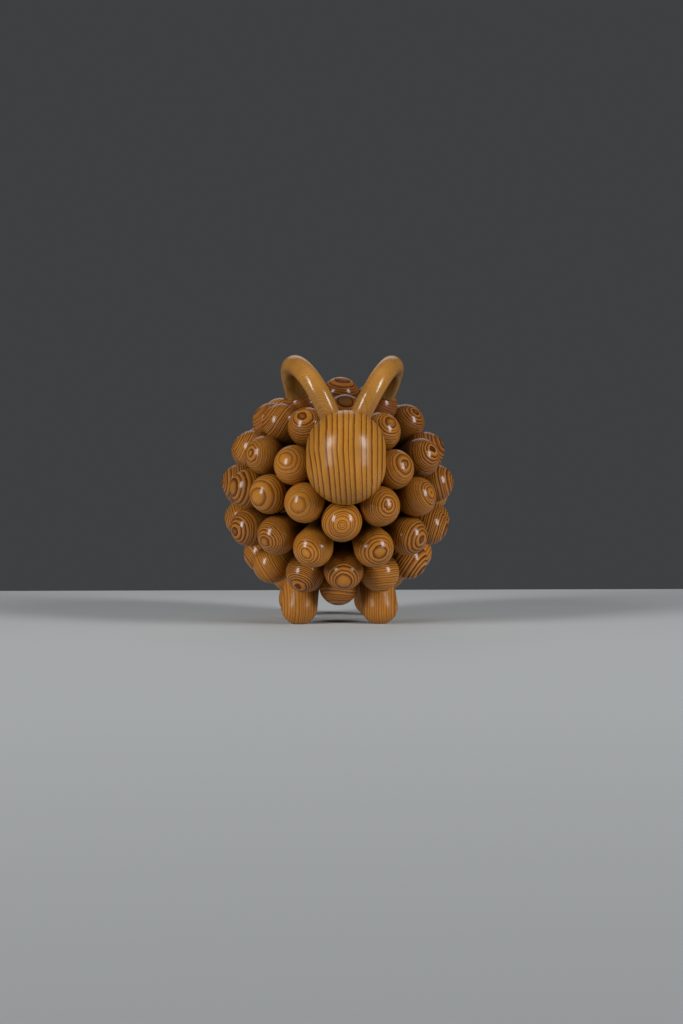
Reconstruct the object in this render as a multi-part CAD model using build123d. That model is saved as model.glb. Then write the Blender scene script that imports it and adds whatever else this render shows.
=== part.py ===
from build123d import *
import os
from math import cos, radians, sin, sqrt

# A standing ram built from turned pine: a hidden egg-shaped core, domed knobs pegged into it all round,
# a barrel-shaped head on a dowel, two ring-shaped horns and four stub legs. Nothing on it moves.
# Millimetres and degrees. The ram looks along -Y, +X is its left and it stands on the plane Z = 0.

# Core: an egg turned about its long axis, which lies level
CORE_DIAMETER = 83.0
CORE_LENGTH = 140.0
CORE_HEIGHT = 80.8

# Knobs: a ball end on a tapered shank that reaches out from the core, with a tenon in a blind hole. The
# axis of a knob meets the core's long axis at this share of the knob's own distance along it. Every knob
# stays this clear of the other knobs, the head and the legs.
KNOB_DIAMETER = 23.8
KNOB_REACH = 20.0
KNOB_TAPER = 12.0
KNOB_ROOT_SHARE = 0.3
SHANK_TRIM = 7.0
KNOB_GAP = 0.1

# Pegged joints, the same for knobs and legs
TENON_DIAMETER = 6.0
TENON_LENGTH = 8.0
HOLE_CLEARANCE = 0.1
HOLE_RELIEF = 0.5
SEAT_GAP = 0.1

# Head: an upright barrel with ball ends, on a dowel that comes out of the core's front. It rests just
# clear of the knobs below it, its back this far inside the foremost ball centres.
HEAD_WIDTH = 45.8
HEAD_TALL = 54.6
HEAD_SINK = 13.4
HEAD_GAP = 0.2
NECK_DIAMETER = 12.0
NECK_IN_CORE = 16.0
NECK_IN_HEAD = 12.0

# Horns: part of a turned ring each, its plane leaning outwards and its back end splayed outwards. The
# ring passes through a seat aside of, behind and below the top of the head.
HORN_DIAMETER = 12.4
HORN_RING_RADIUS = 26.4
HORN_SEAT_ASIDE = 8.3
HORN_SEAT_BACK = 10.5
HORN_SEAT_DOWN = 4.6
HORN_LEAN = 27.0
HORN_SPLAY = 11.0
HORN_ROOT_TURN = -44.0
HORN_SEAT_TURN = -27.0
HORN_TIP_TURN = 158.0
HORN_TIP_ROUNDING = 1.2
HORN_PIN_DIAMETER = 5.0
HORN_PIN_LENGTH = 16.0

# Legs: a ball-ended stub with a small flat foot that reaches up into the knobs and narrows to a peg
# between the knobs, this deep past the lowest ball centres. Their places are shares of the half width
# and half length across the ball centres.
LEG_DIAMETER = 22.6
LEG_FLAT_DIAMETER = 8.0
LEG_TAPER = 1.5
LEG_SINK = 5.7
LEG_SHOULDER = 11.0
LEG_ASIDE_SHARE = 0.398
LEG_FRONT_SHARE = 0.273
LEG_REAR_SHARE = 0.578
LEG_LEAN_IN = 7.0
LEG_LEAN_ALONG = 12.0

# Knobs that show from the front, ring by ring round the head. Each pair is the tip away from the nose
# and the turn about the long axis, counted from the ram's left side over its back.
FRONT_RINGS = (
    ((16, 264), (23, 194), (33, 151), (46, 118), (50, 88), (44, 58), (32, 25), (21, 339)),
    ((49, 271), (37, 241), (49, 213), (45, 181), (57, 154), (65, 130), (77, 112), (80, 89),
     (75, 66), (59, 24), (46, 357), (50, 327), (37, 299)),
    ((68, 269), (60, 246), (82, 227), (75, 201), (65, 177), (84, 133), (84, 46), (76, 26),
     (73, 340), (77, 316), (61, 296)),
    ((104, 240), (97, 219), (92, 195), (86, 174), (94, 154), (84, 6), (89, 344), (92, 322),
     (102, 303)),
)

# Knobs behind them: every place from this tip back, ring by ring with the rings leaning forwards over
# the back, that leaves these gaps to other knobs, from its ball end to the line of a leg and from its
# shank to a leg's peg, and that lies above the bare belly
BACK_FIRST_TIP = 80
BACK_LEAN = 10.0
BACK_TURN_STEP = 3
BACK_KNOB_GAP = 0.8
BACK_LEG_GAP = 9.1
BACK_PEG_GAP = 0.6
BELLY_RISE = 9.5
BACK_GROUP_TIPS = 20

knob_radius = KNOB_DIAMETER / 2
shank_radius = knob_radius * cos(radians(KNOB_TAPER)) - KNOB_REACH * sin(radians(KNOB_TAPER))
core_radius = CORE_DIAMETER / 2
core_half = CORE_LENGTH / 2
fleece_radius = core_radius + KNOB_REACH
fleece_half = core_half + KNOB_REACH
tenon_radius = TENON_DIAMETER / 2
hole_radius = tenon_radius + HOLE_CLEARANCE


def egg(radius, half_length):
    """Solid egg about the Y axis."""
    outline = Ellipse(radius, half_length) & Pos(radius, 0) * Rectangle(2 * radius, 2 * half_length)
    return revolve(outline, Axis.Y)


def core_entry(start, direction):
    """Distance from a point outside the core to its surface, along an inward direction."""
    a = (direction.X ** 2 + direction.Z ** 2) / core_radius ** 2 + direction.Y ** 2 / core_half ** 2
    b = (start.X * direction.X + start.Z * direction.Z) / core_radius ** 2
    b += start.Y * direction.Y / core_half ** 2
    c = (start.X ** 2 + start.Z ** 2) / core_radius ** 2 + start.Y ** 2 / core_half ** 2 - 1
    return (-b - sqrt(b * b - a * c)) / a


def turned(lines):
    """Solid turned about Z from the lines of its half outline in the XZ plane."""
    return revolve(make_face(Plane.XZ * Curve(lines)), Axis.Z)


def peg_hole(start, direction):
    """Blind hole in the core for a peg that comes along a direction from a start."""
    entry = core_entry(start, direction)
    bottom = start + direction * (entry + TENON_LENGTH + HOLE_RELIEF)
    depth = TENON_LENGTH + HOLE_RELIEF + SHANK_TRIM
    return Plane(bottom, z_dir=-direction) * extrude(Circle(hole_radius), depth)


def knob_place(tip, turn):
    """Centre of a knob's ball end, measured from the core's centre."""
    out = fleece_radius * sin(radians(tip))
    return Vector(out * cos(radians(turn)), -fleece_half * cos(radians(tip)), out * sin(radians(turn)))


def knob_inward(place):
    """Direction of a knob's tenon: from its ball end to the long axis of the core."""
    return -Vector(place.X, place.Y * (1 - KNOB_ROOT_SHARE), place.Z).normalized()


def knob(place):
    """Knob with its axis square to the woolly outline."""
    inward = knob_inward(place)
    entry = core_entry(place, inward)
    edge = Vector(knob_radius * cos(radians(KNOB_TAPER)), -knob_radius * sin(radians(KNOB_TAPER)))
    depth = entry + SHANK_TRIM
    neck = edge.X - (depth + edge.Y) * sin(radians(KNOB_TAPER)) / cos(radians(KNOB_TAPER))
    shank = turned([
        CenterArc((0, 0), knob_radius, -KNOB_TAPER, 90 + KNOB_TAPER),
        Line((0, knob_radius), (0, -depth)),
        Line((0, -depth), (neck, -depth)),
        Line((neck, -depth), (edge.X, edge.Y)),
    ])
    shank = Plane(place, z_dir=-inward) * shank - core_seat
    tenon = Plane(place + inward * (entry + TENON_LENGTH), z_dir=-inward) * extrude(
        Circle(tenon_radius), TENON_LENGTH + SHANK_TRIM)
    return (shank + tenon).solid()


def leg_line(side, end):
    """Centre of a leg's ball end and the way its peg goes up, from the core's centre."""
    drop = sqrt((LEG_DIAMETER / 2) ** 2 - (LEG_FLAT_DIAMETER / 2) ** 2)
    along = fleece_half * (-LEG_FRONT_SHARE if end == "front" else LEG_REAR_SHARE)
    start = Vector(side * fleece_radius * LEG_ASIDE_SHARE, along, drop - CORE_HEIGHT)
    toward = -1 if along > 0 else 1
    lean_in = -side * sin(radians(LEG_LEAN_IN)) / cos(radians(LEG_LEAN_IN))
    lean_along = toward * sin(radians(LEG_LEAN_ALONG)) / cos(radians(LEG_LEAN_ALONG))
    return start, Vector(lean_in, lean_along, 1).normalized()


def leg_barrel(start, upward):
    """Length of a leg from the centre of its ball end to where it starts to narrow."""
    return (LEG_SINK - fleece_radius - start.Z) / upward.Z


def leg(side, end):
    """Leg with its foot cut flat on the floor."""
    start, upward = leg_line(side, end)
    radius = LEG_DIAMETER / 2
    edge = Vector(radius * cos(radians(LEG_TAPER)), radius * sin(radians(LEG_TAPER)))
    barrel = leg_barrel(start, upward)
    top = edge.X - (barrel - edge.Y) * sin(radians(LEG_TAPER)) / cos(radians(LEG_TAPER))
    tip = core_entry(start, upward) + TENON_LENGTH
    whole = turned([
        CenterArc((0, 0), radius, -90, 90 + LEG_TAPER),
        Line((edge.X, edge.Y), (top, barrel)),
        Line((top, barrel), (tenon_radius, barrel + LEG_SHOULDER)),
        Line((tenon_radius, barrel + LEG_SHOULDER), (tenon_radius, tip)),
        Line((tenon_radius, tip), (0, tip)),
        Line((0, tip), (0, -radius)),
    ])
    floor = Pos(start.X, start.Y, -CORE_HEIGHT - radius) * Box(4 * radius, 4 * radius, 2 * radius)
    return (Plane(start, z_dir=upward) * whole - floor).solid()


def head_place():
    """Centre of the head: its lower ball end stays clear of the knobs below it."""
    ahead = fleece_half - HEAD_SINK + HEAD_WIDTH / 2
    reach = HEAD_WIDTH / 2 + HEAD_GAP + knob_radius
    below = [place for place in (knob_place(tip, turn) for tip, turn in FRONT_RINGS[0]) if place.Z < 0]
    lift = max(place.Z + sqrt(reach ** 2 - place.X ** 2 - (ahead + place.Y) ** 2) for place in below)
    return Vector(0, -ahead, lift + (HEAD_TALL - HEAD_WIDTH) / 2)


def head_solid(growth):
    """Head, grown all round."""
    lift = (HEAD_TALL - HEAD_WIDTH) / 2
    radius = HEAD_WIDTH / 2 + growth
    return Pos(head_centre.X, head_centre.Y, head_centre.Z) * turned([
        CenterArc((0, lift), radius, 0, 90),
        Line((0, lift + radius), (0, -lift - radius)),
        CenterArc((0, -lift), radius, -90, 90),
        Line((radius, -lift), (radius, lift)),
    ])


def horn_plane(side):
    """Plane of a horn's ring: its X axis runs up and outwards, its Y axis forwards."""
    lean, splay = radians(HORN_LEAN), radians(HORN_SPLAY)
    up = Vector(side * sin(lean), 0, cos(lean))
    back = Vector(side * sin(splay) * cos(lean), cos(splay), -sin(splay) * sin(lean))
    back = (back - up * back.dot(up)).normalized()
    seat = head_centre + Vector(side * HORN_SEAT_ASIDE, HORN_SEAT_BACK, HEAD_TALL / 2 - HORN_SEAT_DOWN)
    spoke = up * sin(radians(HORN_SEAT_TURN)) - back * cos(radians(HORN_SEAT_TURN))
    return Plane(seat - spoke * HORN_RING_RADIUS, x_dir=-back, z_dir=(-back).cross(up))


def horn(side, seat, pin_hole):
    """Horn from inside the head round to its free end, less the head's seat and the pin's hole."""
    section = Plane.XZ * Pos(HORN_RING_RADIUS, 0) * Circle(HORN_DIAMETER / 2)
    ring = revolve(section, Axis.Z, HORN_TIP_TURN - HORN_ROOT_TURN)
    ends = ring.faces().filter_by(GeomType.PLANE).sort_by_distance((HORN_RING_RADIUS, 0, 0))
    ring = fillet(ends[-1].edges(), HORN_TIP_ROUNDING)
    placed = horn_plane(side).location * Rot(0, 0, HORN_ROOT_TURN) * ring
    return (placed - seat - pin_hole).solids().sort_by(SortBy.VOLUME)[-1]


def horn_pin(side, clearance):
    """Straight pin along the horn's line where it meets the head."""
    place = horn_plane(side).location * Rot(0, 0, HORN_SEAT_TURN) * Pos(HORN_RING_RADIUS, 0)
    pin = Cylinder(HORN_PIN_DIAMETER / 2 + clearance, HORN_PIN_LENGTH + 2 * clearance)
    return place * Rot(90, 0, 0) * pin


def off_run(place, start, direction, length):
    """Distance of a place from a straight run."""
    along = min(max((place - start).dot(direction), 0), length)
    return (place - start - direction * along).length


def crowded(place, places):
    """True where a knob would touch a knob, a leg or the head."""
    reach = knob_radius + KNOB_GAP
    if any((place - other).length < reach + knob_radius for other in places):
        return True
    for start, upward in leg_lines.values():
        if off_run(place, start, upward, leg_barrel(start, upward)) < reach + LEG_DIAMETER / 2:
            return True
    barrel = Vector(0, 0, HEAD_TALL - HEAD_WIDTH)
    return off_run(place, head_centre - barrel / 2, Vector(0, 0, 1), barrel.length) < reach + HEAD_WIDTH / 2


def back_crowded(place, places):
    """True where a place behind the front rings is too near a knob or a leg's peg, or on the belly."""
    apart = KNOB_DIAMETER + BACK_KNOB_GAP
    if place.Z < BELLY_RISE - fleece_radius or any((place - other).length < apart for other in places):
        return True
    root = place + knob_inward(place) * core_entry(place, knob_inward(place))
    for start, upward in leg_lines.values() if place.Z < 0 else ():
        if (place - start).cross(upward).length < knob_radius + BACK_LEG_GAP:
            return True
        if (root - start).cross(upward).length < shank_radius + tenon_radius + BACK_PEG_GAP:
            return True
    return False


def front_rings():
    """Places of the knobs that show from the front, ring by ring."""
    rings, places = [], []
    for ring in FRONT_RINGS:
        rings.append([])
        for tip, turn in ring:
            place = knob_place(tip, turn)
            if not crowded(place, places):
                rings[-1].append(place)
                places.append(place)
    return rings


def back_groups(places):
    """Places of the knobs behind the given ones, in groups from front to back."""
    groups = {}
    for tip in range(BACK_FIRST_TIP, 180):
        group = groups.setdefault((tip - BACK_FIRST_TIP) // BACK_GROUP_TIPS, [])
        for turn in range(90, 450, BACK_TURN_STEP):
            place = knob_place(tip - BACK_LEAN * sin(radians(tip)) * sin(radians(turn)), turn)
            if not crowded(place, places) and not back_crowded(place, places):
                places = places + [place]
                group.append(place)
    return [group for group in groups.values() if group]


def neck(clearance):
    """Dowel from the core's front to the head, or its hole where it has a clearance."""
    forward = head_centre.normalized()
    start = head_centre.length - core_entry(head_centre, -forward) - NECK_IN_CORE - clearance
    end = head_centre.length - HEAD_WIDTH / 2 + NECK_IN_HEAD + clearance
    return Plane(forward * start, z_dir=forward) * extrude(Circle(NECK_DIAMETER / 2 + clearance), end - start)


head_centre = head_place()
core_seat = egg(core_radius + SEAT_GAP, core_half + SEAT_GAP)
sides = {"left": 1, "right": -1}
leg_lines = {(end, name): leg_line(side, end) for end in ("front", "rear") for name, side in sides.items()}
rings = front_rings()
front_places = [place for ring in rings for place in ring]
groups = back_groups(front_places)
back_places = [place for group in groups for place in group]

# Core with a blind hole for every knob, every leg and the neck
holes = [peg_hole(place, knob_inward(place)) for place in front_places + back_places]
holes += [peg_hole(start, upward) for start, upward in leg_lines.values()]
nodes = {"core": (egg(core_radius, core_half) - holes - neck(HOLE_CLEARANCE)).solid()}

# Head with its dowel and horns
nodes["neck_dowel"] = neck(0)
pin_holes = {name: horn_pin(side, HOLE_CLEARANCE) for name, side in sides.items()}
nodes["head"] = (head_solid(0) - neck(HOLE_CLEARANCE) - list(pin_holes.values())).solid()
for name, side in sides.items():
    nodes[f"horn_{name}"] = horn(side, head_solid(SEAT_GAP), pin_holes[name])
    nodes[f"horn_pin_{name}"] = horn_pin(side, 0)

# Legs
for end, name in leg_lines:
    nodes[f"leg_{end}_{name}"] = leg(sides[name], end)

# Knobs: a node for each one of the front rings, a node for each group behind them
for number, ring in enumerate(rings, 1):
    for count, place in enumerate(ring, 1):
        nodes[f"knob_ring_{number}_{count:02d}"] = knob(place)
for number, group in enumerate(groups, 1):
    nodes[f"knobs_back_{number}"] = Compound([knob(place) for place in group])

# The origin is on the floor, under the middle of the whole outline
whole = Compound(list(nodes.values())).bounding_box()
middle = whole.center()
os.makedirs("parts", exist_ok=True)
for name, solid in nodes.items():
    placed = Pos(-middle.X, -middle.Y, CORE_HEIGHT) * solid
    placed.label = name
    export_step(placed, f"parts/{name}.step")
print(f"{len(nodes)} nodes, {len(front_places + back_places)} knobs, size {whole.size}")
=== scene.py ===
import math
import random

import bmesh
import bpy
import numpy as np
from mathutils import Matrix, Vector


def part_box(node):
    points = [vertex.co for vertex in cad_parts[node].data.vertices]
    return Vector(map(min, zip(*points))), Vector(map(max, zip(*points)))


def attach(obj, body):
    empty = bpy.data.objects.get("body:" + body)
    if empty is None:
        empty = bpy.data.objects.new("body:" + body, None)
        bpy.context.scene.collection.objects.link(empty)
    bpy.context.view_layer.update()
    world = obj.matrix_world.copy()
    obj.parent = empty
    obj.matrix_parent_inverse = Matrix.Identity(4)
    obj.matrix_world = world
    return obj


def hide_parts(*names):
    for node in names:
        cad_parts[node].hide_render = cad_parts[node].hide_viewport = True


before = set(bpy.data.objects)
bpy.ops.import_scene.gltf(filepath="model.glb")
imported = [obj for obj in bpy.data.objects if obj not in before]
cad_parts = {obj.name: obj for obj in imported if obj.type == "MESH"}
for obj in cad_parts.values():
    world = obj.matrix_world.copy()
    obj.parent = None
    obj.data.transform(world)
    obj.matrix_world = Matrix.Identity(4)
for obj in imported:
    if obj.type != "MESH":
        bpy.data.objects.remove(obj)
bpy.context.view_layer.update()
mm = 0.001

coreLow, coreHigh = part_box("core")
coreCentre = (coreLow + coreHigh) / 2
headLow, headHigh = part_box("head")
headCentre = (headLow + headHigh) / 2
print("frame loaded")


def addNode(tree, kind, inputs=None, **settings):
    node = tree.nodes.new(kind)
    for name, value in settings.items():
        setattr(node, name, value)
    for socket, value in (inputs or {}).items():
        if isinstance(value, bpy.types.NodeSocket):
            tree.links.new(value, node.inputs[socket])
        else:
            node.inputs[socket].default_value = value
    return node


def calc(tree, operation, *values, clamp=False):
    return addNode(tree, "ShaderNodeMath", dict(enumerate(values)), operation=operation, use_clamp=clamp).outputs[0]


def calcVector(tree, operation, *values):
    return addNode(tree, "ShaderNodeVectorMath", dict(enumerate(values)), operation=operation).outputs[0]


def scaleVector(tree, vector, scale):
    return addNode(tree, "ShaderNodeVectorMath", {0: vector, "Scale": scale}, operation="SCALE").outputs[0]


def splitVector(tree, vector):
    return addNode(tree, "ShaderNodeSeparateXYZ", {0: vector}).outputs


def joinVector(tree, x=0.0, y=0.0, z=0.0):
    return addNode(tree, "ShaderNodeCombineXYZ", {0: x, 1: y, 2: z}).outputs[0]


def mapRange(tree, value, fromLow, fromHigh, toLow, toHigh, smooth=False):
    kind = "SMOOTHSTEP" if smooth else "LINEAR"
    return addNode(tree, "ShaderNodeMapRange", {0: value, 1: fromLow, 2: fromHigh, 3: toLow, 4: toHigh},
                   interpolation_type=kind, clamp=True).outputs[0]


def makeGroup(name, inputs, outputs):
    tree = bpy.data.node_groups.new(name, "ShaderNodeTree")
    for label, kind, value in inputs:
        socket = tree.interface.new_socket(label, in_out="INPUT", socket_type=kind)
        if value is not None:
            socket.default_value = value
    for label, kind in outputs:
        tree.interface.new_socket(label, in_out="OUTPUT", socket_type=kind)
    return tree, tree.nodes.new("NodeGroupInput").outputs, tree.nodes.new("NodeGroupOutput")


def noiseAt(tree, place, scale, detail):
    scaled = calcVector(tree, "MULTIPLY", place, scale)
    return addNode(tree, "ShaderNodeTexNoise", {"Vector": scaled, "Scale": 1.0, "Detail": detail}).outputs[0]


def directionOf(turn, rise):
    # Degrees from straight ahead of the ram, towards its left and up
    a, e = math.radians(turn), math.radians(rise)
    return Vector((math.sin(a) * math.cos(e), -math.cos(a) * math.cos(e), math.sin(e)))


# Camera, where the photograph was taken from: level with the core, about a metre in front
cameraValues = {"ahead": 1074.6 * mm, "aside": -53.7 * mm, "below": -2.5 * mm, "turn": 3.0, "tilt": -0.505,
                "lens": 59.77, "sensor": 36.0, "clipStart": 0.01}


def makeCamera(values):
    data = bpy.data.cameras.new("camera")
    data.lens = values["lens"]
    data.sensor_width = values["sensor"]
    data.clip_start = values["clipStart"]
    data.dof.use_dof = False
    camera = bpy.data.objects.new("camera", data)
    bpy.context.scene.collection.objects.link(camera)
    camera.location = coreCentre + Vector((values["aside"], -values["ahead"], values["below"]))
    camera.rotation_euler = (math.radians(90 + values["tilt"]), 0, math.radians(-values["turn"]))
    bpy.context.scene.camera = camera


makeCamera(cameraValues)
bpy.context.scene.view_settings.view_transform = "Standard"


# Two tall soft boxes in front, one each side, and weaker ones above and behind
lightValues = {"distance": 2.6, "spread": 70.0}
softBoxValues = {"right_box": {"turn": -50.0, "rise": 18.0, "size": (0.72, 1.5), "watts": 8.8},
                 "left_box": {"turn": 50.0, "rise": 18.0, "size": (0.72, 1.5), "watts": 8.8},
                 "top_box": {"turn": 0.0, "rise": 80.0, "size": (1.6, 1.6), "watts": 0.5},
                 "back_box": {"turn": 180.0, "rise": 38.0, "size": (2.4, 1.2), "watts": 1.5}}


def makeSoftBox(name, box, values):
    data = bpy.data.lights.new(name, "AREA")
    data.shape = "RECTANGLE"
    data.size, data.size_y = box["size"]
    data.energy = box["watts"]
    data.spread = math.radians(values["spread"])
    light = bpy.data.objects.new(name, data)
    bpy.context.scene.collection.objects.link(light)
    toward = directionOf(box["turn"], box["rise"])
    light.location = coreCentre + toward * values["distance"]
    light.rotation_euler = toward.to_track_quat("Z", "Y").to_euler()


for name, box in softBoxValues.items():
    makeSoftBox(name, box, lightValues)


# Room: a dim even light, behind which a plain dark grey backdrop shows
roomValues = {"strength": 0.03, "colour": (0.90, 0.95, 1.0), "backdrop": (0.048, 0.05, 0.053)}


def makeRoom(values):
    world = bpy.data.worlds.new("room")
    world.use_nodes = True
    tree = world.node_tree
    room = tree.nodes["Background"]
    room.inputs["Color"].default_value = (*values["colour"], 1)
    room.inputs["Strength"].default_value = values["strength"]
    backdrop = addNode(tree, "ShaderNodeBackground", {"Color": (*values["backdrop"], 1)})
    rays = tree.nodes.new("ShaderNodeLightPath").outputs
    seen = calc(tree, "MAXIMUM", rays["Is Camera Ray"], rays["Is Glossy Ray"])
    seen = calc(tree, "MAXIMUM", seen, rays["Is Transmission Ray"])
    mixed = addNode(tree, "ShaderNodeMixShader", {0: seen, 1: room.outputs[0], 2: backdrop.outputs[0]})
    tree.links.new(mixed.outputs[0], tree.nodes["World Output"].inputs["Surface"])
    bpy.context.scene.world = world


makeRoom(roomValues)


# Floor: a plain pale slab, which ends behind the ram
floorValues = {"half": 1.0, "front": -1.1, "back": 0.37, "thick": 0.03, "rounding": 0.004, "roundingSteps": 4,
               "colour": (0.59, 0.61, 0.62), "roughness": 0.7, "shine": 0.0}


def makeFloor(values):
    shape = bmesh.new()
    bmesh.ops.create_cube(shape, size=1.0)
    middle = (values["front"] + values["back"]) / 2
    for vertex in shape.verts:
        vertex.co.x *= 2 * values["half"]
        vertex.co.y = middle + vertex.co.y * (values["back"] - values["front"])
        vertex.co.z = (vertex.co.z - 0.5) * values["thick"]
    bmesh.ops.bevel(shape, geom=list(shape.edges), offset=values["rounding"], segments=values["roundingSteps"],
                    affect="EDGES")
    mesh = bpy.data.meshes.new("floor")
    shape.to_mesh(mesh)
    shape.free()
    floor = bpy.data.objects.new("floor", mesh)
    bpy.context.scene.collection.objects.link(floor)
    material = bpy.data.materials.new("floorPaint")
    material.use_nodes = True
    shader = material.node_tree.nodes["Principled BSDF"]
    shader.inputs["Base Color"].default_value = (*values["colour"], 1)
    shader.inputs["Roughness"].default_value = values["roughness"]
    shader.inputs["Specular IOR Level"].default_value = values["shine"]
    floor.data.materials.append(material)


makeFloor(floorValues)
print("camera, lights and floor made")


# How the growth layers vary. A scale is per mm, across, along and again across the fibres, and a swing is in layers,
# or in mm where it bends them. Crowding is how quickly the layers change from wide to narrow, per layer.
layerValues = {"slowScale": (0.075, 0.02, 0.075), "slowDetail": 1.5, "slowSwing": 4.0, "quickScale": (0.5, 0.09, 0.5),
               "quickDetail": 1.0, "quickSwing": 0.55, "crowding": 0.37, "crowdSwing": 1.3, "widths": (0.7, 1.3),
               "strengths": (1.0, 0.45), "rise": 1.1, "fallFrom": 0.9, "slope": 0.12,
               "streakScale": (2.6, 0.14, 2.6), "patchScale": (0.05, 0.03, 0.05), "fineDetail": 2.0}


# Growth layers of a softwood. Place is in metres: Y runs along the fibres and Z across the layers. Each layer is pale
# at first and darkens to a hard dark line, and no two are quite alike.
def makeGrowthLayers(values):
    tree, given, out = makeGroup(
        "growthLayers",
        [("Place", "NodeSocketVector", None), ("Pitch", "NodeSocketFloat", 1.6), ("Bend", "NodeSocketFloat", 0.02),
         ("Waviness", "NodeSocketFloat", 0.8), ("Line Share", "NodeSocketFloat", 0.42),
         ("Seed", "NodeSocketFloat", 0.0)],
        [("Darkness", "NodeSocketFloat"), ("Streaks", "NodeSocketFloat"), ("Patches", "NodeSocketFloat")])
    place = scaleVector(tree, given["Place"], 1 / mm)
    x, _, depth = splitVector(tree, place)
    slow = noiseAt(tree, place, values["slowScale"], values["slowDetail"])
    quick = noiseAt(tree, place, values["quickScale"], values["quickDetail"])
    depth = calc(tree, "MULTIPLY_ADD", calc(tree, "MULTIPLY", x, x), calc(tree, "MULTIPLY", given["Bend"], 0.5), depth)
    depth = calc(tree, "MULTIPLY_ADD", calc(tree, "SUBTRACT", slow, 0.5),
                 calc(tree, "MULTIPLY", given["Waviness"], values["slowSwing"]), depth)
    depth = calc(tree, "MULTIPLY_ADD", calc(tree, "SUBTRACT", quick, 0.5), values["quickSwing"], depth)
    count = calc(tree, "DIVIDE", depth, given["Pitch"])
    crowdPlace = calc(tree, "MULTIPLY_ADD", count, values["crowding"], given["Seed"])
    crowd = addNode(tree, "ShaderNodeTexNoise", {"W": crowdPlace, "Scale": 1.0, "Detail": 0.0},
                    noise_dimensions="1D").outputs[0]
    count = calc(tree, "MULTIPLY_ADD", calc(tree, "SUBTRACT", crowd, 0.5), values["crowdSwing"], count)
    number = calc(tree, "FLOOR", count)
    within = calc(tree, "FRACT", count)
    chance = addNode(tree, "ShaderNodeTexWhiteNoise", {"W": calc(tree, "ADD", number, given["Seed"])},
                     noise_dimensions="1D").outputs[0]
    width = calc(tree, "MULTIPLY", given["Line Share"], mapRange(tree, chance, 0, 1, *values["widths"]))
    rise = calc(tree, "DIVIDE", calc(tree, "SUBTRACT", within, calc(tree, "SUBTRACT", 1, width)), width, clamp=True)
    rise = calc(tree, "POWER", rise, values["rise"])
    fall = mapRange(tree, within, values["fallFrom"], 1.0, 1.0, 0.0, smooth=True)
    line = calc(tree, "MULTIPLY", calc(tree, "MULTIPLY", rise, fall),
                mapRange(tree, chance, 0, 1, *values["strengths"]))
    darkness = calc(tree, "MULTIPLY_ADD", within, values["slope"], line, clamp=True)
    streaks = noiseAt(tree, place, values["streakScale"], values["fineDetail"])
    patches = noiseAt(tree, place, values["patchScale"], values["fineDetail"])
    for label, value in (("Darkness", darkness), ("Streaks", streaks), ("Patches", patches)):
        tree.links.new(value, out.inputs[label])
    return tree


# How much streaks and patches lighten or darken the wood, and how dark painted shade makes it at most
shadeValues = {"noise": (0.3, 0.7), "streaks": (0.84, 1.1), "patches": (0.86, 1.1), "stained": 0.12}


# Colour of the wood from the layers: pale and dark wood, fine fibre streaks and a slow drift of tone. On top of that
# painted shade darkens it, in the crevices between the knobs and on the inside of the horns' bend.
def makeWoodColour(values):
    tree, given, out = makeGroup(
        "woodColour",
        [("Darkness", "NodeSocketFloat", 0.0), ("Streaks", "NodeSocketFloat", 0.5), ("Patches", "NodeSocketFloat", 0.5),
         ("Tone", "NodeSocketFloat", 0.0), ("Strength", "NodeSocketFloat", 1.0), ("Stain", "NodeSocketFloat", 0.0),
         ("Pale", "NodeSocketColor", None), ("Dark", "NodeSocketColor", None),
         ("Deep Pale", "NodeSocketColor", None), ("Deep Dark", "NodeSocketColor", None)],
        [("Color", "NodeSocketColor")])

    def mixed(factor, a, b, blend="MIX"):
        node = addNode(tree, "ShaderNodeMix", {"Factor": factor, 6: a, 7: b}, data_type="RGBA", blend_type=blend)
        return node.outputs[2]

    pale = mixed(given["Tone"], given["Pale"], given["Deep Pale"])
    dark = mixed(given["Tone"], given["Dark"], given["Deep Dark"])
    amount = calc(tree, "MULTIPLY", given["Darkness"], given["Strength"], clamp=True)
    tint = addNode(tree, "ShaderNodeGamma", {0: mixed(1.0, dark, pale, "DIVIDE"), 1: amount}).outputs[0]
    colour = mixed(1.0, pale, tint, "MULTIPLY")
    shade = calc(tree, "MULTIPLY", mapRange(tree, given["Streaks"], *values["noise"], *values["streaks"]),
                 mapRange(tree, given["Patches"], *values["noise"], *values["patches"]))
    # Painted shade: the colour darkens where the knobs crowd together and inside the horns' bend
    shade = calc(tree, "MULTIPLY", shade, mapRange(tree, given["Stain"], 0, 1, 1.0, values["stained"]))
    grey = addNode(tree, "ShaderNodeCombineColor", {0: shade, 1: shade, 2: shade}).outputs[0]
    tree.links.new(mixed(1.0, colour, grey, "MULTIPLY"), out.inputs["Color"])
    return tree


growthLayers = makeGrowthLayers(layerValues)
woodColour = makeWoodColour(shadeValues)
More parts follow.
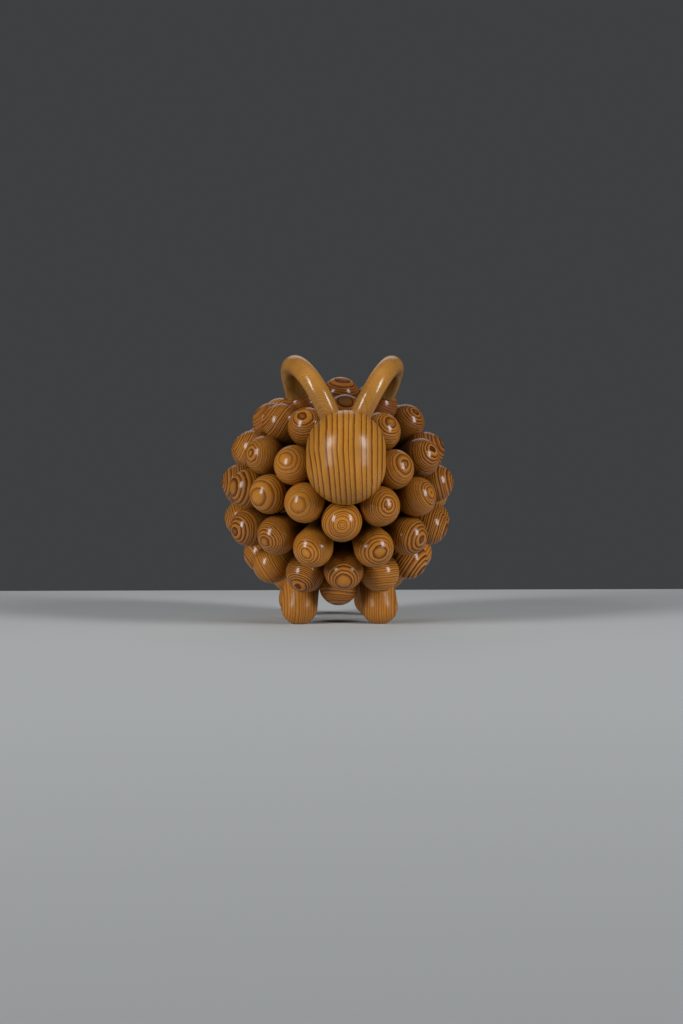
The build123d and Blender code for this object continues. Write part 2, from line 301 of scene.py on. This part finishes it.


# Clear satin lacquer over the wood. A dressed piece brings its place in the wood, pitch, tone, line strength and
# painted shade as attributes, and a plain one reads its own object coordinates.
def makeWood(name, values, dressed=True):
    material = bpy.data.materials.new(name)
    material.use_nodes = True
    tree = material.node_tree
    shader = tree.nodes["Principled BSDF"]
    layers = tree.nodes.new("ShaderNodeGroup")
    layers.node_tree = growthLayers
    colour = tree.nodes.new("ShaderNodeGroup")
    colour.node_tree = woodColour

    def attribute(label, output="Vector"):
        return addNode(tree, "ShaderNodeAttribute", attribute_name=label).outputs[output]

    if dressed:
        place = attribute("woodPlace")
        pitch, tone, seed = splitVector(tree, attribute("woodLook"))
        strength, share, waviness = splitVector(tree, attribute("woodLines"))
        for group, label, value in ((layers, "Pitch", pitch), (layers, "Seed", seed), (layers, "Line Share", share),
                                    (layers, "Waviness", waviness), (colour, "Tone", tone),
                                    (colour, "Strength", strength), (colour, "Stain", attribute("woodStain", "Fac"))):
            tree.links.new(value, group.inputs[label])
    else:
        place = addNode(tree, "ShaderNodeTexCoord").outputs["Object"]
        for label in ("Pitch", "Line Share", "Waviness"):
            layers.inputs[label].default_value = values[label]
    tree.links.new(place, layers.inputs["Place"])
    layers.inputs["Bend"].default_value = values["Bend"]
    for label in ("Darkness", "Streaks", "Patches"):
        tree.links.new(layers.outputs[label], colour.inputs[label])
    for label in ("Pale", "Dark", "Deep Pale", "Deep Dark"):
        colour.inputs[label].default_value = (*values[label], 1)
    tree.links.new(colour.outputs["Color"], shader.inputs["Base Color"])
    rough = mapRange(tree, layers.outputs["Streaks"], *shadeValues["noise"], *values["roughness"])
    tree.links.new(rough, shader.inputs["Roughness"])
    relief = calc(tree, "MULTIPLY_ADD", layers.outputs["Streaks"], values["streakRelief"], layers.outputs["Darkness"])
    bump = addNode(tree, "ShaderNodeBump", {"Height": relief, "Strength": values["relief"],
                                            "Distance": values["reliefDepth"]})
    tree.links.new(bump.outputs["Normal"], shader.inputs["Normal"])
    shader.inputs["Specular IOR Level"].default_value = values["shine"]
    shader.inputs["Coat Weight"].default_value = values["coat"]
    shader.inputs["Coat Roughness"].default_value = values["coatRoughness"]
    shader.inputs["Coat IOR"].default_value = values["coatIor"]
    return material


# Woods. Pitch is the width of a layer in mm, roughness goes from the smoothest to the roughest streak, and the two
# deep colours are the red brown that a piece's tone mixes in.
knobWoodValues = {"Bend": 0.02, "roughness": (0.41, 0.5), "relief": 0.3, "streakRelief": 0.5,
                  "reliefDepth": 0.05 * mm, "shine": 0.06, "coat": 0.5, "coatIor": 1.5, "coatRoughness": 0.17,
                  "Pale": (0.475, 0.192, 0.023), "Dark": (0.045, 0.0095, 0.0015), "Deep Pale": (0.23, 0.068, 0.012),
                  "Deep Dark": (0.024, 0.006, 0.002)}
headWoodValues = {**knobWoodValues, "Bend": 0.004, "coatRoughness": 0.26,
                  "Pale": (0.465, 0.2, 0.025), "Dark": (0.085, 0.02, 0.0015)}
legWoodValues = {**knobWoodValues, "Bend": 0.004, "coat": 0.3, "coatRoughness": 0.3,
                 "Pale": (0.50, 0.205, 0.032), "Dark": (0.16, 0.05, 0.007)}
hornWoodValues = {**knobWoodValues, "Bend": 0.002, "coat": 0.6, "coatRoughness": 0.14,
                  "Pale": (0.42, 0.195, 0.036), "Dark": (0.29, 0.115, 0.018)}
# The core is near black: painted shade for where it shows in the gaps between the knobs
coreWoodPaintedShadeValues = {**knobWoodValues, "Pitch": 2.2, "Line Share": 0.46, "Waviness": 0.8, "Bend": 0.0, "coat": 0.0,
                  "roughness": (0.56, 0.65), "Pale": (0.07, 0.025, 0.008), "Dark": (0.03, 0.01, 0.003), "shine": 0.1}
dowelWoodValues = {**coreWoodPaintedShadeValues, "Pitch": 0.8, "Line Share": 0.5, "Pale": (0.50, 0.30, 0.13),
                   "Dark": (0.36, 0.19, 0.07)}
knobWood = makeWood("knobWood", knobWoodValues)
headWood = makeWood("headWood", headWoodValues)
legWood = makeWood("legWood", legWoodValues)
hornWood = makeWood("hornWood", hornWoodValues)
coreWood = makeWood("coreWood", coreWoodPaintedShadeValues, dressed=False)
dowelWood = makeWood("dowelWood", dowelWoodValues, dressed=False)
print("woods made")


def finishPiece(piece, slot, *nodes):
    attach(piece, "root")
    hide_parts(*nodes)


# Knobs: one turned shape, set on the ball centres read from the frame
# Its last two values set where the painted shade down each knob starts and where it is full
knobValues = {"ballRadius": 11.9 * mm, "taper": 12.0, "reach": 21.0 * mm, "tenonRadius": 3.0 * mm,
              "tenonLength": 7.0 * mm, "rootShare": 0.3, "segments": 64, "rows": 48, "ballRows": 36, "shankRows": 40,
              "stepRow": 41, "tenonRow": 46, "capDepth": 9.0 * mm, "mergeDistance": 0.001 * mm,
              "stainFrom": 1.0 * mm, "stainTo": -12.0 * mm}


def looseParts(obj):
    shape = bmesh.new()
    shape.from_mesh(obj.data)
    bmesh.ops.remove_doubles(shape, verts=shape.verts, dist=knobValues["mergeDistance"])
    shape.verts.ensure_lookup_table()
    seen, parts = set(), []
    for first in shape.verts:
        if first.index in seen:
            continue
        part, queue = [], [first]
        seen.add(first.index)
        while queue:
            vertex = queue.pop()
            part.append(tuple(vertex.co))
            for edge in vertex.link_edges:
                other = edge.other_vert(vertex)
                if other.index not in seen:
                    seen.add(other.index)
                    queue.append(other)
        parts.append(np.array(part))
    shape.free()
    return parts


def ballCentre(points):
    # The ball end is the only round part of a knob, so a sphere is fitted to the points nearest its tip
    outward = points.mean(0) - np.array(coreCentre)
    heights = points @ (outward / np.linalg.norm(outward))
    cap = points[heights > heights.max() - knobValues["capDepth"]]
    terms = np.hstack([2 * cap, np.ones((len(cap), 1))])
    answer = np.linalg.lstsq(terms, (cap ** 2).sum(1), rcond=None)[0]
    return Vector(answer[:3])


def outwardFrom(centre):
    away = centre - coreCentre
    away.y *= 1 - knobValues["rootShare"]
    return away.normalized()


def makeKnobTree(inputs):
    tree = bpy.data.node_groups.new("turnedKnobs", "GeometryNodeTree")
    face = tree.interface
    face.new_socket("Geometry", in_out="INPUT", socket_type="NodeSocketGeometry")
    for label, (kind, value) in inputs.items():
        face.new_socket(label, in_out="INPUT", socket_type=f"NodeSocket{kind}")
    face.new_socket("Geometry", in_out="OUTPUT", socket_type="NodeSocketGeometry")
    given = tree.nodes.new("NodeGroupInput").outputs

    def named(label, kind="FLOAT_VECTOR"):
        return addNode(tree, "GeometryNodeInputNamedAttribute", {"Name": label}, data_type=kind).outputs[0]

    def stored(geometry, label, value, kind="FLOAT_VECTOR"):
        return addNode(tree, "GeometryNodeStoreNamedAttribute", {"Geometry": geometry, "Name": label, "Value": value},
                       data_type=kind, domain="POINT").outputs[0]

    def choose(test, no, yes):
        return addNode(tree, "GeometryNodeSwitch", {"Switch": test, "False": no, "True": yes},
                       input_type="FLOAT").outputs[0]

    def below(value, limit):
        return addNode(tree, "FunctionNodeCompare", {0: value, 1: limit}, data_type="FLOAT",
                       operation="LESS_EQUAL").outputs[0]

    # The rows of a ball become the rows of the turned outline: ball end, shank, step and tenon
    ball = addNode(tree, "GeometryNodeMeshUVSphere", {"Segments": given["Segments"], "Rings": given["Rows"],
                                                      "Radius": 1.0}).outputs["Mesh"]
    position = tree.nodes.new("GeometryNodeInputPosition").outputs[0]
    x, y, z = splitVector(tree, position)
    row = calc(tree, "MULTIPLY", calc(tree, "DIVIDE", calc(tree, "ARCCOSINE", z), math.pi), given["Rows"])
    row = calc(tree, "ROUND", row)
    sweep = calc(tree, "ADD", given["Taper"], math.pi / 2)
    polar = mapRange(tree, row, 0.0, given["Ball Rows"], 0.0, sweep)
    radius = given["Ball Radius"]
    ballR = calc(tree, "MULTIPLY", radius, calc(tree, "SINE", polar))
    ballZ = calc(tree, "MULTIPLY", radius, calc(tree, "COSINE", polar))
    edgeR = calc(tree, "MULTIPLY", radius, calc(tree, "COSINE", given["Taper"]))
    edgeZ = calc(tree, "MULTIPLY", radius, calc(tree, "MULTIPLY", calc(tree, "SINE", given["Taper"]), -1.0))
    bottom = calc(tree, "MULTIPLY", given["Reach"], -1.0)
    narrowing = calc(tree, "MULTIPLY", calc(tree, "SUBTRACT", edgeZ, bottom), calc(tree, "TANGENT", given["Taper"]))
    endR = calc(tree, "SUBTRACT", edgeR, narrowing)
    shankR = mapRange(tree, row, given["Ball Rows"], given["Shank Rows"], edgeR, endR)
    shankZ = mapRange(tree, row, given["Ball Rows"], given["Shank Rows"], edgeZ, bottom)
    stepR = mapRange(tree, row, given["Shank Rows"], given["Step Row"], endR, given["Tenon Radius"])
    tenonR = calc(tree, "MULTIPLY", stepR, mapRange(tree, row, given["Tenon Row"], given["Rows"], 1.0, 0.0))
    tenonEnd = calc(tree, "SUBTRACT", bottom, given["Tenon Length"])
    tenonZ = mapRange(tree, row, given["Step Row"], given["Tenon Row"], bottom, tenonEnd)
    onBall, onShank = below(row, given["Ball Rows"]), below(row, given["Shank Rows"])
    newR = choose(onBall, choose(onShank, tenonR, shankR), ballR)
    newZ = choose(onBall, choose(onShank, tenonZ, shankZ), ballZ)
    spread = scaleVector(tree, calcVector(tree, "NORMALIZE", joinVector(tree, x, y)), newR)
    lifted = calcVector(tree, "ADD", spread, joinVector(tree, z=newZ))
    turned = addNode(tree, "GeometryNodeSetPosition", {"Geometry": ball, "Position": lifted}).outputs[0]
    turned = addNode(tree, "GeometryNodeSetShadeSmooth", {"Geometry": turned}).outputs[0]
    # Painted shade: the knob darkens from the lower side of its ball down the shank, where the knobs crowd and shade
    # falls
    stain = mapRange(tree, z, given["Stain From"], given["Stain To"], 0.0, 1.0, smooth=True)
    turned = stored(turned, "woodStain", stain, "FLOAT")

    aligned = addNode(tree, "FunctionNodeAlignRotationToVector", {"Vector": named("outward")}, axis="Z").outputs[0]
    placed = addNode(tree, "GeometryNodeInstanceOnPoints", {"Points": given["Geometry"], "Instance": turned,
                                                            "Rotation": aligned}).outputs[0]
    real = addNode(tree, "GeometryNodeRealizeInstances", {"Geometry": placed}).outputs[0]

    # Place in the wood, seen square to its layers: depth below the top of the rings, or distance from the pith
    square = addNode(tree, "FunctionNodeAlignRotationToVector", {"Vector": named("ringsToward")}, axis="Z").outputs[0]
    spin = addNode(tree, "FunctionNodeAxisAngleToRotation", {"Axis": (0, 0, 1), "Angle": named("spin", "FLOAT")})
    square = addNode(tree, "FunctionNodeRotateRotation", {0: square, 1: spin.outputs[0]}, rotation_space="LOCAL")
    square = addNode(tree, "FunctionNodeInvertRotation", {0: square.outputs[0]}).outputs[0]
    offset = calcVector(tree, "SUBTRACT", tree.nodes.new("GeometryNodeInputPosition").outputs[0], named("ballCentre"))
    offset = addNode(tree, "FunctionNodeRotateVector", {0: offset, 1: square}).outputs[0]
    x, y, z = splitVector(tree, offset)
    fromPith = addNode(tree, "ShaderNodeVectorMath", {0: joinVector(tree, x, y)}, operation="LENGTH").outputs["Value"]
    pith = below(0.5, named("pith", "FLOAT"))
    across = choose(pith, calc(tree, "SUBTRACT", radius, z), fromPith)
    place = joinVector(tree, x, choose(pith, y, z), across)
    real = stored(real, "woodPlace", calcVector(tree, "ADD", place, named("grainShift")))
    real = addNode(tree, "GeometryNodeSetMaterial", {"Geometry": real, "Material": given["Material"]}).outputs[0]
    addNode(tree, "NodeGroupOutput", {0: real})
    return tree


def socketNames(tree):
    return {item.name: item.identifier for item in tree.interface.items_tree
            if item.item_type == "SOCKET" and item.in_out == "INPUT"}


knobInputs = {"Ball Radius": ("Float", knobValues["ballRadius"]),
              "Taper": ("Float", math.radians(knobValues["taper"])),
              "Reach": ("Float", knobValues["reach"]),
              "Tenon Radius": ("Float", knobValues["tenonRadius"]),
              "Tenon Length": ("Float", knobValues["tenonLength"]),
              "Segments": ("Int", knobValues["segments"]),
              "Rows": ("Int", knobValues["rows"]),
              "Ball Rows": ("Float", float(knobValues["ballRows"])),
              "Shank Rows": ("Float", float(knobValues["shankRows"])),
              "Step Row": ("Float", float(knobValues["stepRow"])),
              "Tenon Row": ("Float", float(knobValues["tenonRow"])),
              "Stain From": ("Float", knobValues["stainFrom"]),
              "Stain To": ("Float", knobValues["stainTo"]),
              "Material": ("Material", knobWood)}
knobTree = makeKnobTree(knobInputs)

# How each front knob's wood is cut: the way the middle of its rings looks, in degrees towards the ram's left and
# up, the layers' pitch and the depth of the first dark line in mm, the tone from honey to red brown, and the
# strength of the lines
knobLooks = {
    "1_01": (-2, -9, 1.6, 0.2, 0.1, 0.8), "1_02": (-21, -8, 1.5, 1.15, 0.0, 0.45),
    "1_03": (-29, 17, 1.6, 0.95, 0.05, 0.55), "1_04": (-23, 33, 1.3, 0.1, 0.3, 1.0),
    "1_05": (-3, 40, 1.6, 1.0, 0.7, 1.0), "1_06": (33, 28, 1.05, 0.5, 0.2, 1.05),
    "1_07": (32, 18, 1.3, 0.4, 0.1, 0.9), "1_08": (23, 4, 1.0, 0.5, 0.15, 1.0),
    "2_01": (-5, -34, 1.45, 1.2, 0.15, 1.1), "2_02": (-23, -14, 0.9, 0.5, 0.0, 0.85),
    "2_03": (-44, -16, 1.0, 0.5, 0.15, 1.05), "2_04": (-42, -8, 2.6, 2.2, 0.0, 0.75),
    "2_05": (-49, 6, 0.85, 0.3, 0.15, 0.9), "2_06": (-85, 40, 1.3, 0.8, 0.35, 1.15),
    # 2_07 and 2_09 sit under the horns: their deep tone is partly red-brown wood and partly painted shade from the
    #                                    horns
    "2_07": (-50, 50, 1.6, 0.6, 0.9, 0.7), "2_08": (5, 62, 1.9, 0.9, 0.7, 1.1),
    "2_09": (56, 50, 1.5, 0.6, 0.9, 0.8), "2_10": (40, 22, 1.05, 0.1, 0.3, 1.3),
    "2_11": (45, 11, 0.85, 0.6, 0.25, 1.0), "2_12": (42, -10, 1.45, 0.2, 0.15, 1.15),
    "2_13": (15, -12, 1.6, 0.75, 0.1, 0.9),
    "3_01": (-2, -80, 1.5, 0.9, 0.5, 0.9), "3_02": (-31, -41, 1.05, 0.1, 0.2, 1.25),
    "3_03": (-92, -35, 1.3, 0.8, 0.0, 0.75), "3_04": (-52, -10, 1.5, 0.2, 0.35, 1.1),
    "3_05": (-64, 3, 2.2, 1.5, 0.25, 1.2), "3_06": (-75, 40, 2.0, 0.8, 0.6, 0.5),
    "3_07": (38, 36, 1.05, 0.2, 0.5, 1.2), "3_08": (74, 25, 1.9, 0.7, 0.7, 1.1),
    "3_09": (72, -19, 1.5, 0.6, 0.25, 1.3), "3_10": (66, -38, 2.2, 0.7, 0.1, 1.3),
    "3_11": (20, -82, 1.25, 0.6, 0.0, 0.8),
    "4_01": (-110, -50, 1.8, 0.6, 0.1, 0.6), "4_02": (-95, -35, 2.0, 0.6, 0.2, 0.9),
    "4_03": (-92, -15, 1.3, 0.5, 0.3, 0.9), "4_04": (-86, 6, 1.5, 0.5, 0.3, 1.1),
    "4_05": (-90, 26, 1.4, 0.5, 0.4, 0.9), "4_06": (78, 6, 1.6, 0.6, 0.4, 1.2),
    "4_07": (86, -16, 1.6, 0.6, 0.3, 1.2), "4_08": (90, -35, 2.1, 0.6, 0.25, 0.6),
    "4_09": (105, -50, 1.3, 0.5, 0.2, 1.1),
}
pithKnobs = ("1_01",)  # turned along the pith, so its rings are evenly spaced

# The other knobs' wood is drawn by chance within these ranges. Line share is a base, and what strength adds to it.
grainValues = {"seed": 11, "pitch": (1.1, 2.1), "first": (0.3, 1.4), "tone": (0.0, 0.8), "strength": (0.7, 1.4),
               "tilt": 9.0, "shift": 900 * mm, "layers": (2, 40), "seeds": (50, 150), "darkestPart": 0.9,
               "lineShare": (0.36, 0.2), "waviness": (0.3, 0.6)}


def lookOf(node, centre, chance):
    looks = knobLooks.get(node.replace("knob_ring_", ""))
    if looks is not None:
        return directionOf(*looks[:2]), looks[2:]
    tilt = math.radians(grainValues["tilt"])
    tip = Matrix.Rotation(chance.uniform(-tilt, tilt), 3, "X") @ Matrix.Rotation(chance.uniform(-tilt, tilt), 3, "Z")
    drawn = [chance.uniform(*grainValues[label]) for label in ("pitch", "first", "tone", "strength")]
    return tip @ outwardFrom(centre), drawn


def knobColumns(node, centres, chance):
    columns = {label: [] for label in ("ballCentre", "outward", "ringsToward", "spin", "pith", "grainShift",
                                       "woodLook", "woodLines")}
    for centre in centres:
        toward, (pitch, first, tone, strength) = lookOf(node, centre, chance)
        depth = (grainValues["darkestPart"] * pitch + pitch * chance.randint(*grainValues["layers"]) - first) * mm
        share = grainValues["lineShare"]
        columns["ballCentre"].append(centre)
        columns["outward"].append(outwardFrom(centre))
        columns["ringsToward"].append(toward)
        columns["spin"].append(chance.uniform(0, 2 * math.pi))
        columns["pith"].append(float(node.replace("knob_ring_", "") in pithKnobs))
        columns["grainShift"].append((0, chance.uniform(0, grainValues["shift"]), depth))
        # A whole number here keeps the first line where the table puts it
        seed = chance.randint(*grainValues["seeds"]) - layerValues["crowding"] * depth / mm / pitch
        columns["woodLook"].append((pitch, tone, seed))
        columns["woodLines"].append((strength, share[0] + share[1] * strength,
                                     chance.uniform(*grainValues["waviness"])))
    return columns


def makeKnobs():
    chance = random.Random(grainValues["seed"])
    names = socketNames(knobTree)
    for node in sorted(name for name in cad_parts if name.startswith("knob")):
        centres = [ballCentre(part) for part in looseParts(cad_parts[node])]
        mesh = bpy.data.meshes.new(node + "_points")
        mesh.from_pydata([tuple(c) for c in centres], [], [])
        for label, values in knobColumns(node, centres, chance).items():
            single = label in ("spin", "pith")
            column = mesh.attributes.new(label, "FLOAT" if single else "FLOAT_VECTOR", "POINT")
            column.data.foreach_set("value" if single else "vector", np.array(values, np.float32).ravel())
        points = bpy.data.objects.new(node + "_points", mesh)
        bpy.context.scene.collection.objects.link(points)
        modifier = points.modifiers.new("turnedKnobs", "NODES")
        modifier.node_group = knobTree
        for label, (kind, value) in knobInputs.items():
            modifier[names[label]] = value
        shaped = bpy.data.meshes.new_from_object(points.evaluated_get(bpy.context.evaluated_depsgraph_get()))
        bpy.data.objects.remove(points)
        piece = bpy.data.objects.new(node + "_turned", shaped)
        bpy.context.scene.collection.objects.link(piece)
        finishPiece(piece, "knob_wood", node)


makeKnobs()
print("knobs made")


def storeLook(mesh, places, values, seed, paintedShades=None):
    place = mesh.attributes.new("woodPlace", "FLOAT_VECTOR", "POINT")
    place.data.foreach_set("vector", np.array(places, np.float32).ravel())
    for label, row in (("woodLook", (values["pitch"], values["tone"], seed)),
                       ("woodLines", (values["strength"], values["lineShare"], values["waviness"]))):
        column = mesh.attributes.new(label, "FLOAT_VECTOR", "POINT")
        column.data.foreach_set("vector", np.tile(np.array(row, np.float32), len(mesh.vertices)))
    if paintedShades:
        mesh.attributes.new("woodStain", "FLOAT", "POINT").data.foreach_set("value", np.array(paintedShades, np.float32))


def skinRows(name, shape, rows, segments):
    # A row is a ring of vertices, or one vertex at either end
    for upper, lower in zip(rows, rows[1:]):
        for i in range(segments):
            j = (i + 1) % segments
            corners = [upper[i % len(upper)], lower[i % len(lower)], lower[j % len(lower)], upper[j % len(upper)]]
            shape.faces.new(list(dict.fromkeys(corners)))
    bmesh.ops.recalc_face_normals(shape, faces=shape.faces)
    mesh = bpy.data.meshes.new(name)
    shape.to_mesh(mesh)
    shape.free()
    mesh.shade_smooth()
    return mesh


def turnsOf(segments):
    return [2 * math.pi * i / segments for i in range(segments)]


def turnedMesh(name, outline, segments):
    # outline holds (radius, height) pairs from the top pole to the bottom pole
    shape = bmesh.new()
    rows = []
    for radius, height in outline:
        turns = turnsOf(segments) if radius else [0]
        rows.append([shape.verts.new((radius * math.cos(a), radius * math.sin(a), height)) for a in turns])
    return skinRows(name, shape, rows, segments)


def addPiece(name, mesh, material, slot, *nodes):
    mesh.materials.append(material)
    piece = bpy.data.objects.new(name, mesh)
    bpy.context.scene.collection.objects.link(piece)
    finishPiece(piece, slot, *nodes)


# Head: an upright barrel with ball ends, its layers upright and facing sideways
headValues = {"segments": 160, "arcSteps": 48, "sideSteps": 16, "pitch": 3.25, "tone": 0.0, "strength": 1.4,
              "lineShare": 0.36, "waviness": 0.2, "seed": 4.0, "shift": 60.9 * mm, "fanPivot": 14 * mm,
              "fanTop": 4 * mm, "fan": 0.0045}


def barrelOutline(radius, halfTall, arcSteps, sideSteps):
    lift = halfTall - radius
    points = [(0, halfTall)]
    for step in range(1, arcSteps + 1):
        a = math.radians(90 * step / arcSteps)
        points.append((radius * math.sin(a), lift + radius * math.cos(a)))
    points += [(radius, lift - 2 * lift * step / sideSteps) for step in range(1, sideSteps)]
    return points + [(r, -z) for r, z in reversed(points[:arcSteps + 1])]


def makeHead(values):
    half = (headHigh - headLow) / 2
    outline = barrelOutline(half.y, half.z, values["arcSteps"], values["sideSteps"])
    mesh = turnedMesh("head", outline, values["segments"])
    places = []
    for x, y, z in (v.co for v in mesh.vertices):
        fall = max(0.0, values["fanTop"] - z) / mm
        across = (x - values["fanPivot"]) * (1 + values["fan"] * fall)
        places.append((y, z, across + values["shift"]))
    storeLook(mesh, places, values, values["seed"])
    mesh.transform(Matrix.Translation(headCentre))
    addPiece("head_turned", mesh, headWood, "head_wood", "head")


makeHead(headValues)
print("head made")


# Horns: part of a ring each, swept along an arc whose plane leans outwards, with a rounded free end
hornValues = {"radius": 6.2 * mm, "ringRadius": 26.4 * mm, "centre": Vector((17.74 * mm, 33.59 * mm, 31.34 * mm)),
              "lean": 27.0, "splay": 11.0, "rootTurn": -44.0, "tipTurn": 158.0, "rounding": 1.2 * mm,
              "arcSteps": 120, "endSteps": 6, "segments": 48, "fibres": (0.75, -0.65, 0.1), "acrossShare": 0.6,
              "alongShare": 0.8, "pitch": 1.3, "tone": 0.1, "strength": 0.8, "lineShare": 0.6, "waviness": 0.6,
              # then how dark the painted shade inside the bend gets, and how far past the tube's middle it begins
              "stain": 0.7, "stainEdge": 0.2, "seed": 7.0}


def ringAxes(side, values):
    lean, splay = math.radians(values["lean"]), math.radians(values["splay"])
    up = Vector((side * math.sin(lean), 0, math.cos(lean)))
    back = Vector((side * math.sin(splay) * math.cos(lean), math.cos(splay), -math.sin(splay) * math.sin(lean)))
    back = (back - up * back.dot(up)).normalized()
    return up, back, up.cross(back).normalized()


def makeHorn(name, side, values):
    up, back, normal = ringAxes(side, values)
    centre = headCentre + Vector((side * values["centre"].x, values["centre"].y, values["centre"].z))
    root, tip = math.radians(values["rootTurn"]), math.radians(values["tipTurn"])
    rings = [(root, 0.0), (root, values["radius"])]
    rings += [(root + (tip - root) * i / values["arcSteps"], values["radius"]) for i in range(1, values["arcSteps"])]
    tilt = values["rounding"] / values["ringRadius"]
    rings[-1] = (tip - tilt, values["radius"])
    for i in range(1, values["endSteps"] + 1):
        a = math.radians(90 * i / values["endSteps"])
        rings.append((tip - tilt + tilt * math.sin(a), values["radius"] - values["rounding"] * (1 - math.cos(a))))
    rings.append((tip, 0.0))
    shape = bmesh.new()
    rows = []
    for turn, radius in rings:
        out = up * math.sin(turn) - back * math.cos(turn)
        middle = centre + out * values["ringRadius"]
        turns = turnsOf(values["segments"]) if radius else [0]
        rows.append([shape.verts.new(middle + (out * math.cos(a) + normal * math.sin(a)) * radius) for a in turns])
    mesh = skinRows(name, shape, rows, values["segments"])
    fibres = sum((axis * share for axis, share in zip((up, back, normal), values["fibres"])), Vector()).normalized()
    across = (normal - fibres * normal.dot(fibres)).normalized()
    along = fibres.cross(across)
    # Painted shade on the inside of the bend, where the loop shades itself
    places, paintedShades = [], []
    for offset in (v.co - centre for v in mesh.vertices):
        depth = offset.dot(across) * values["acrossShare"] + offset.dot(along) * values["alongShare"]
        places.append((offset.dot(along), offset.dot(fibres), depth))
        inward = values["ringRadius"] - (offset - normal * offset.dot(normal)).length
        paintedShades.append(values["stain"] * min(1.0, max(0.0, inward / values["radius"] + values["stainEdge"])))
    storeLook(mesh, places, values, values["seed"] + side, paintedShades)
    addPiece(name + "_turned", mesh, hornWood, "horn_wood", name)


makeHorn("horn_left", 1, hornValues)
makeHorn("horn_right", -1, hornValues)
print("horns made")


# Legs: a ball-ended stub that leans inwards, cut flat where it stands, its layers upright. The grain's turns are in
# degrees, one for each leg in the order of their names.
legValues = {"radius": 11.3 * mm, "taper": 1.5, "barrel": 14.86 * mm, "shoulder": 11.0 * mm, "pegRadius": 3.0 * mm,
             "pegLength": 14.0 * mm, "leanIn": 7.0, "leanAlong": 12.0, "flatRadius": 4.0 * mm, "segments": 96,
             "arcSteps": 32, "pitch": 1.5, "tone": 0.2, "strength": 1.0, "lineShare": 0.55, "waviness": 0.3,
             "touch": 0.02 * mm, "sharpFrom": 35.0, "grainTurns": (6, -9, 40, -65), "grainStep": 40 * mm,
             "seedStep": 3.1}


def makeLeg(name, number, values):
    vertices = [v.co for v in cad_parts[name].data.vertices if v.co.z < values["touch"]]
    foot = sum(vertices, Vector()) / len(vertices)
    side = 1 if foot.x > 0 else -1
    toward = -1 if foot.y > coreCentre.y else 1
    axis = Vector((-side * math.tan(math.radians(values["leanIn"])),
                   toward * math.tan(math.radians(values["leanAlong"])), 1)).normalized()
    drop = math.sqrt(values["radius"] ** 2 - values["flatRadius"] ** 2)
    taper = math.radians(values["taper"])
    edge = (values["radius"] * math.cos(taper), values["radius"] * math.sin(taper))
    top = edge[0] - (values["barrel"] - edge[1]) * math.tan(taper)
    pegBase = values["barrel"] + values["shoulder"]
    outline = [(0, pegBase + values["pegLength"]), (values["pegRadius"], pegBase + values["pegLength"]),
               (values["pegRadius"], pegBase), (top, values["barrel"])]
    for step in range(values["arcSteps"]):
        a = taper - (math.pi / 2 + taper) * step / values["arcSteps"]
        outline.append((values["radius"] * math.cos(a), values["radius"] * math.sin(a)))
    outline.append((0, -values["radius"]))
    mesh = turnedMesh(name, outline, values["segments"])
    mesh.transform(Matrix.Translation(foot + Vector((0, 0, drop))) @ axis.to_track_quat("Z", "Y").to_matrix().to_4x4())
    shape = bmesh.new()
    shape.from_mesh(mesh)
    whole = list(shape.verts) + list(shape.edges) + list(shape.faces)
    cut = bmesh.ops.bisect_plane(shape, geom=whole, plane_co=(0, 0, 0), plane_no=(0, 0, -1), clear_outer=True)
    rim = [item for item in cut["geom_cut"] if isinstance(item, bmesh.types.BMEdge)]
    bmesh.ops.contextual_create(shape, geom=rim)
    bmesh.ops.recalc_face_normals(shape, faces=shape.faces)
    shape.to_mesh(mesh)
    shape.free()
    mesh.shade_smooth()
    mesh.set_sharp_from_angle(angle=math.radians(values["sharpFrom"]))
    turn = Matrix.Rotation(math.radians(values["grainTurns"][number]), 3, "Z")
    places = []
    for vertex in mesh.vertices:
        local = turn @ (vertex.co - foot)
        places.append((local.y, local.z, local.x + values["grainStep"] * (number + 1)))
    storeLook(mesh, places, values, number * values["seedStep"])
    addPiece(name + "_turned", mesh, legWood, "leg_wood", name)


for number, name in enumerate(sorted(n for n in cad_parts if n.startswith("leg_"))):
    makeLeg(name, number, legValues)
print("legs made")

# Core, dowel and pins keep their own shape and get their wood
for name, wood in (("core", coreWood), ("neck_dowel", dowelWood), ("horn_pin_left", dowelWood),
                   ("horn_pin_right", dowelWood)):
    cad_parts[name].data.materials.clear()
    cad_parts[name].data.materials.append(wood)
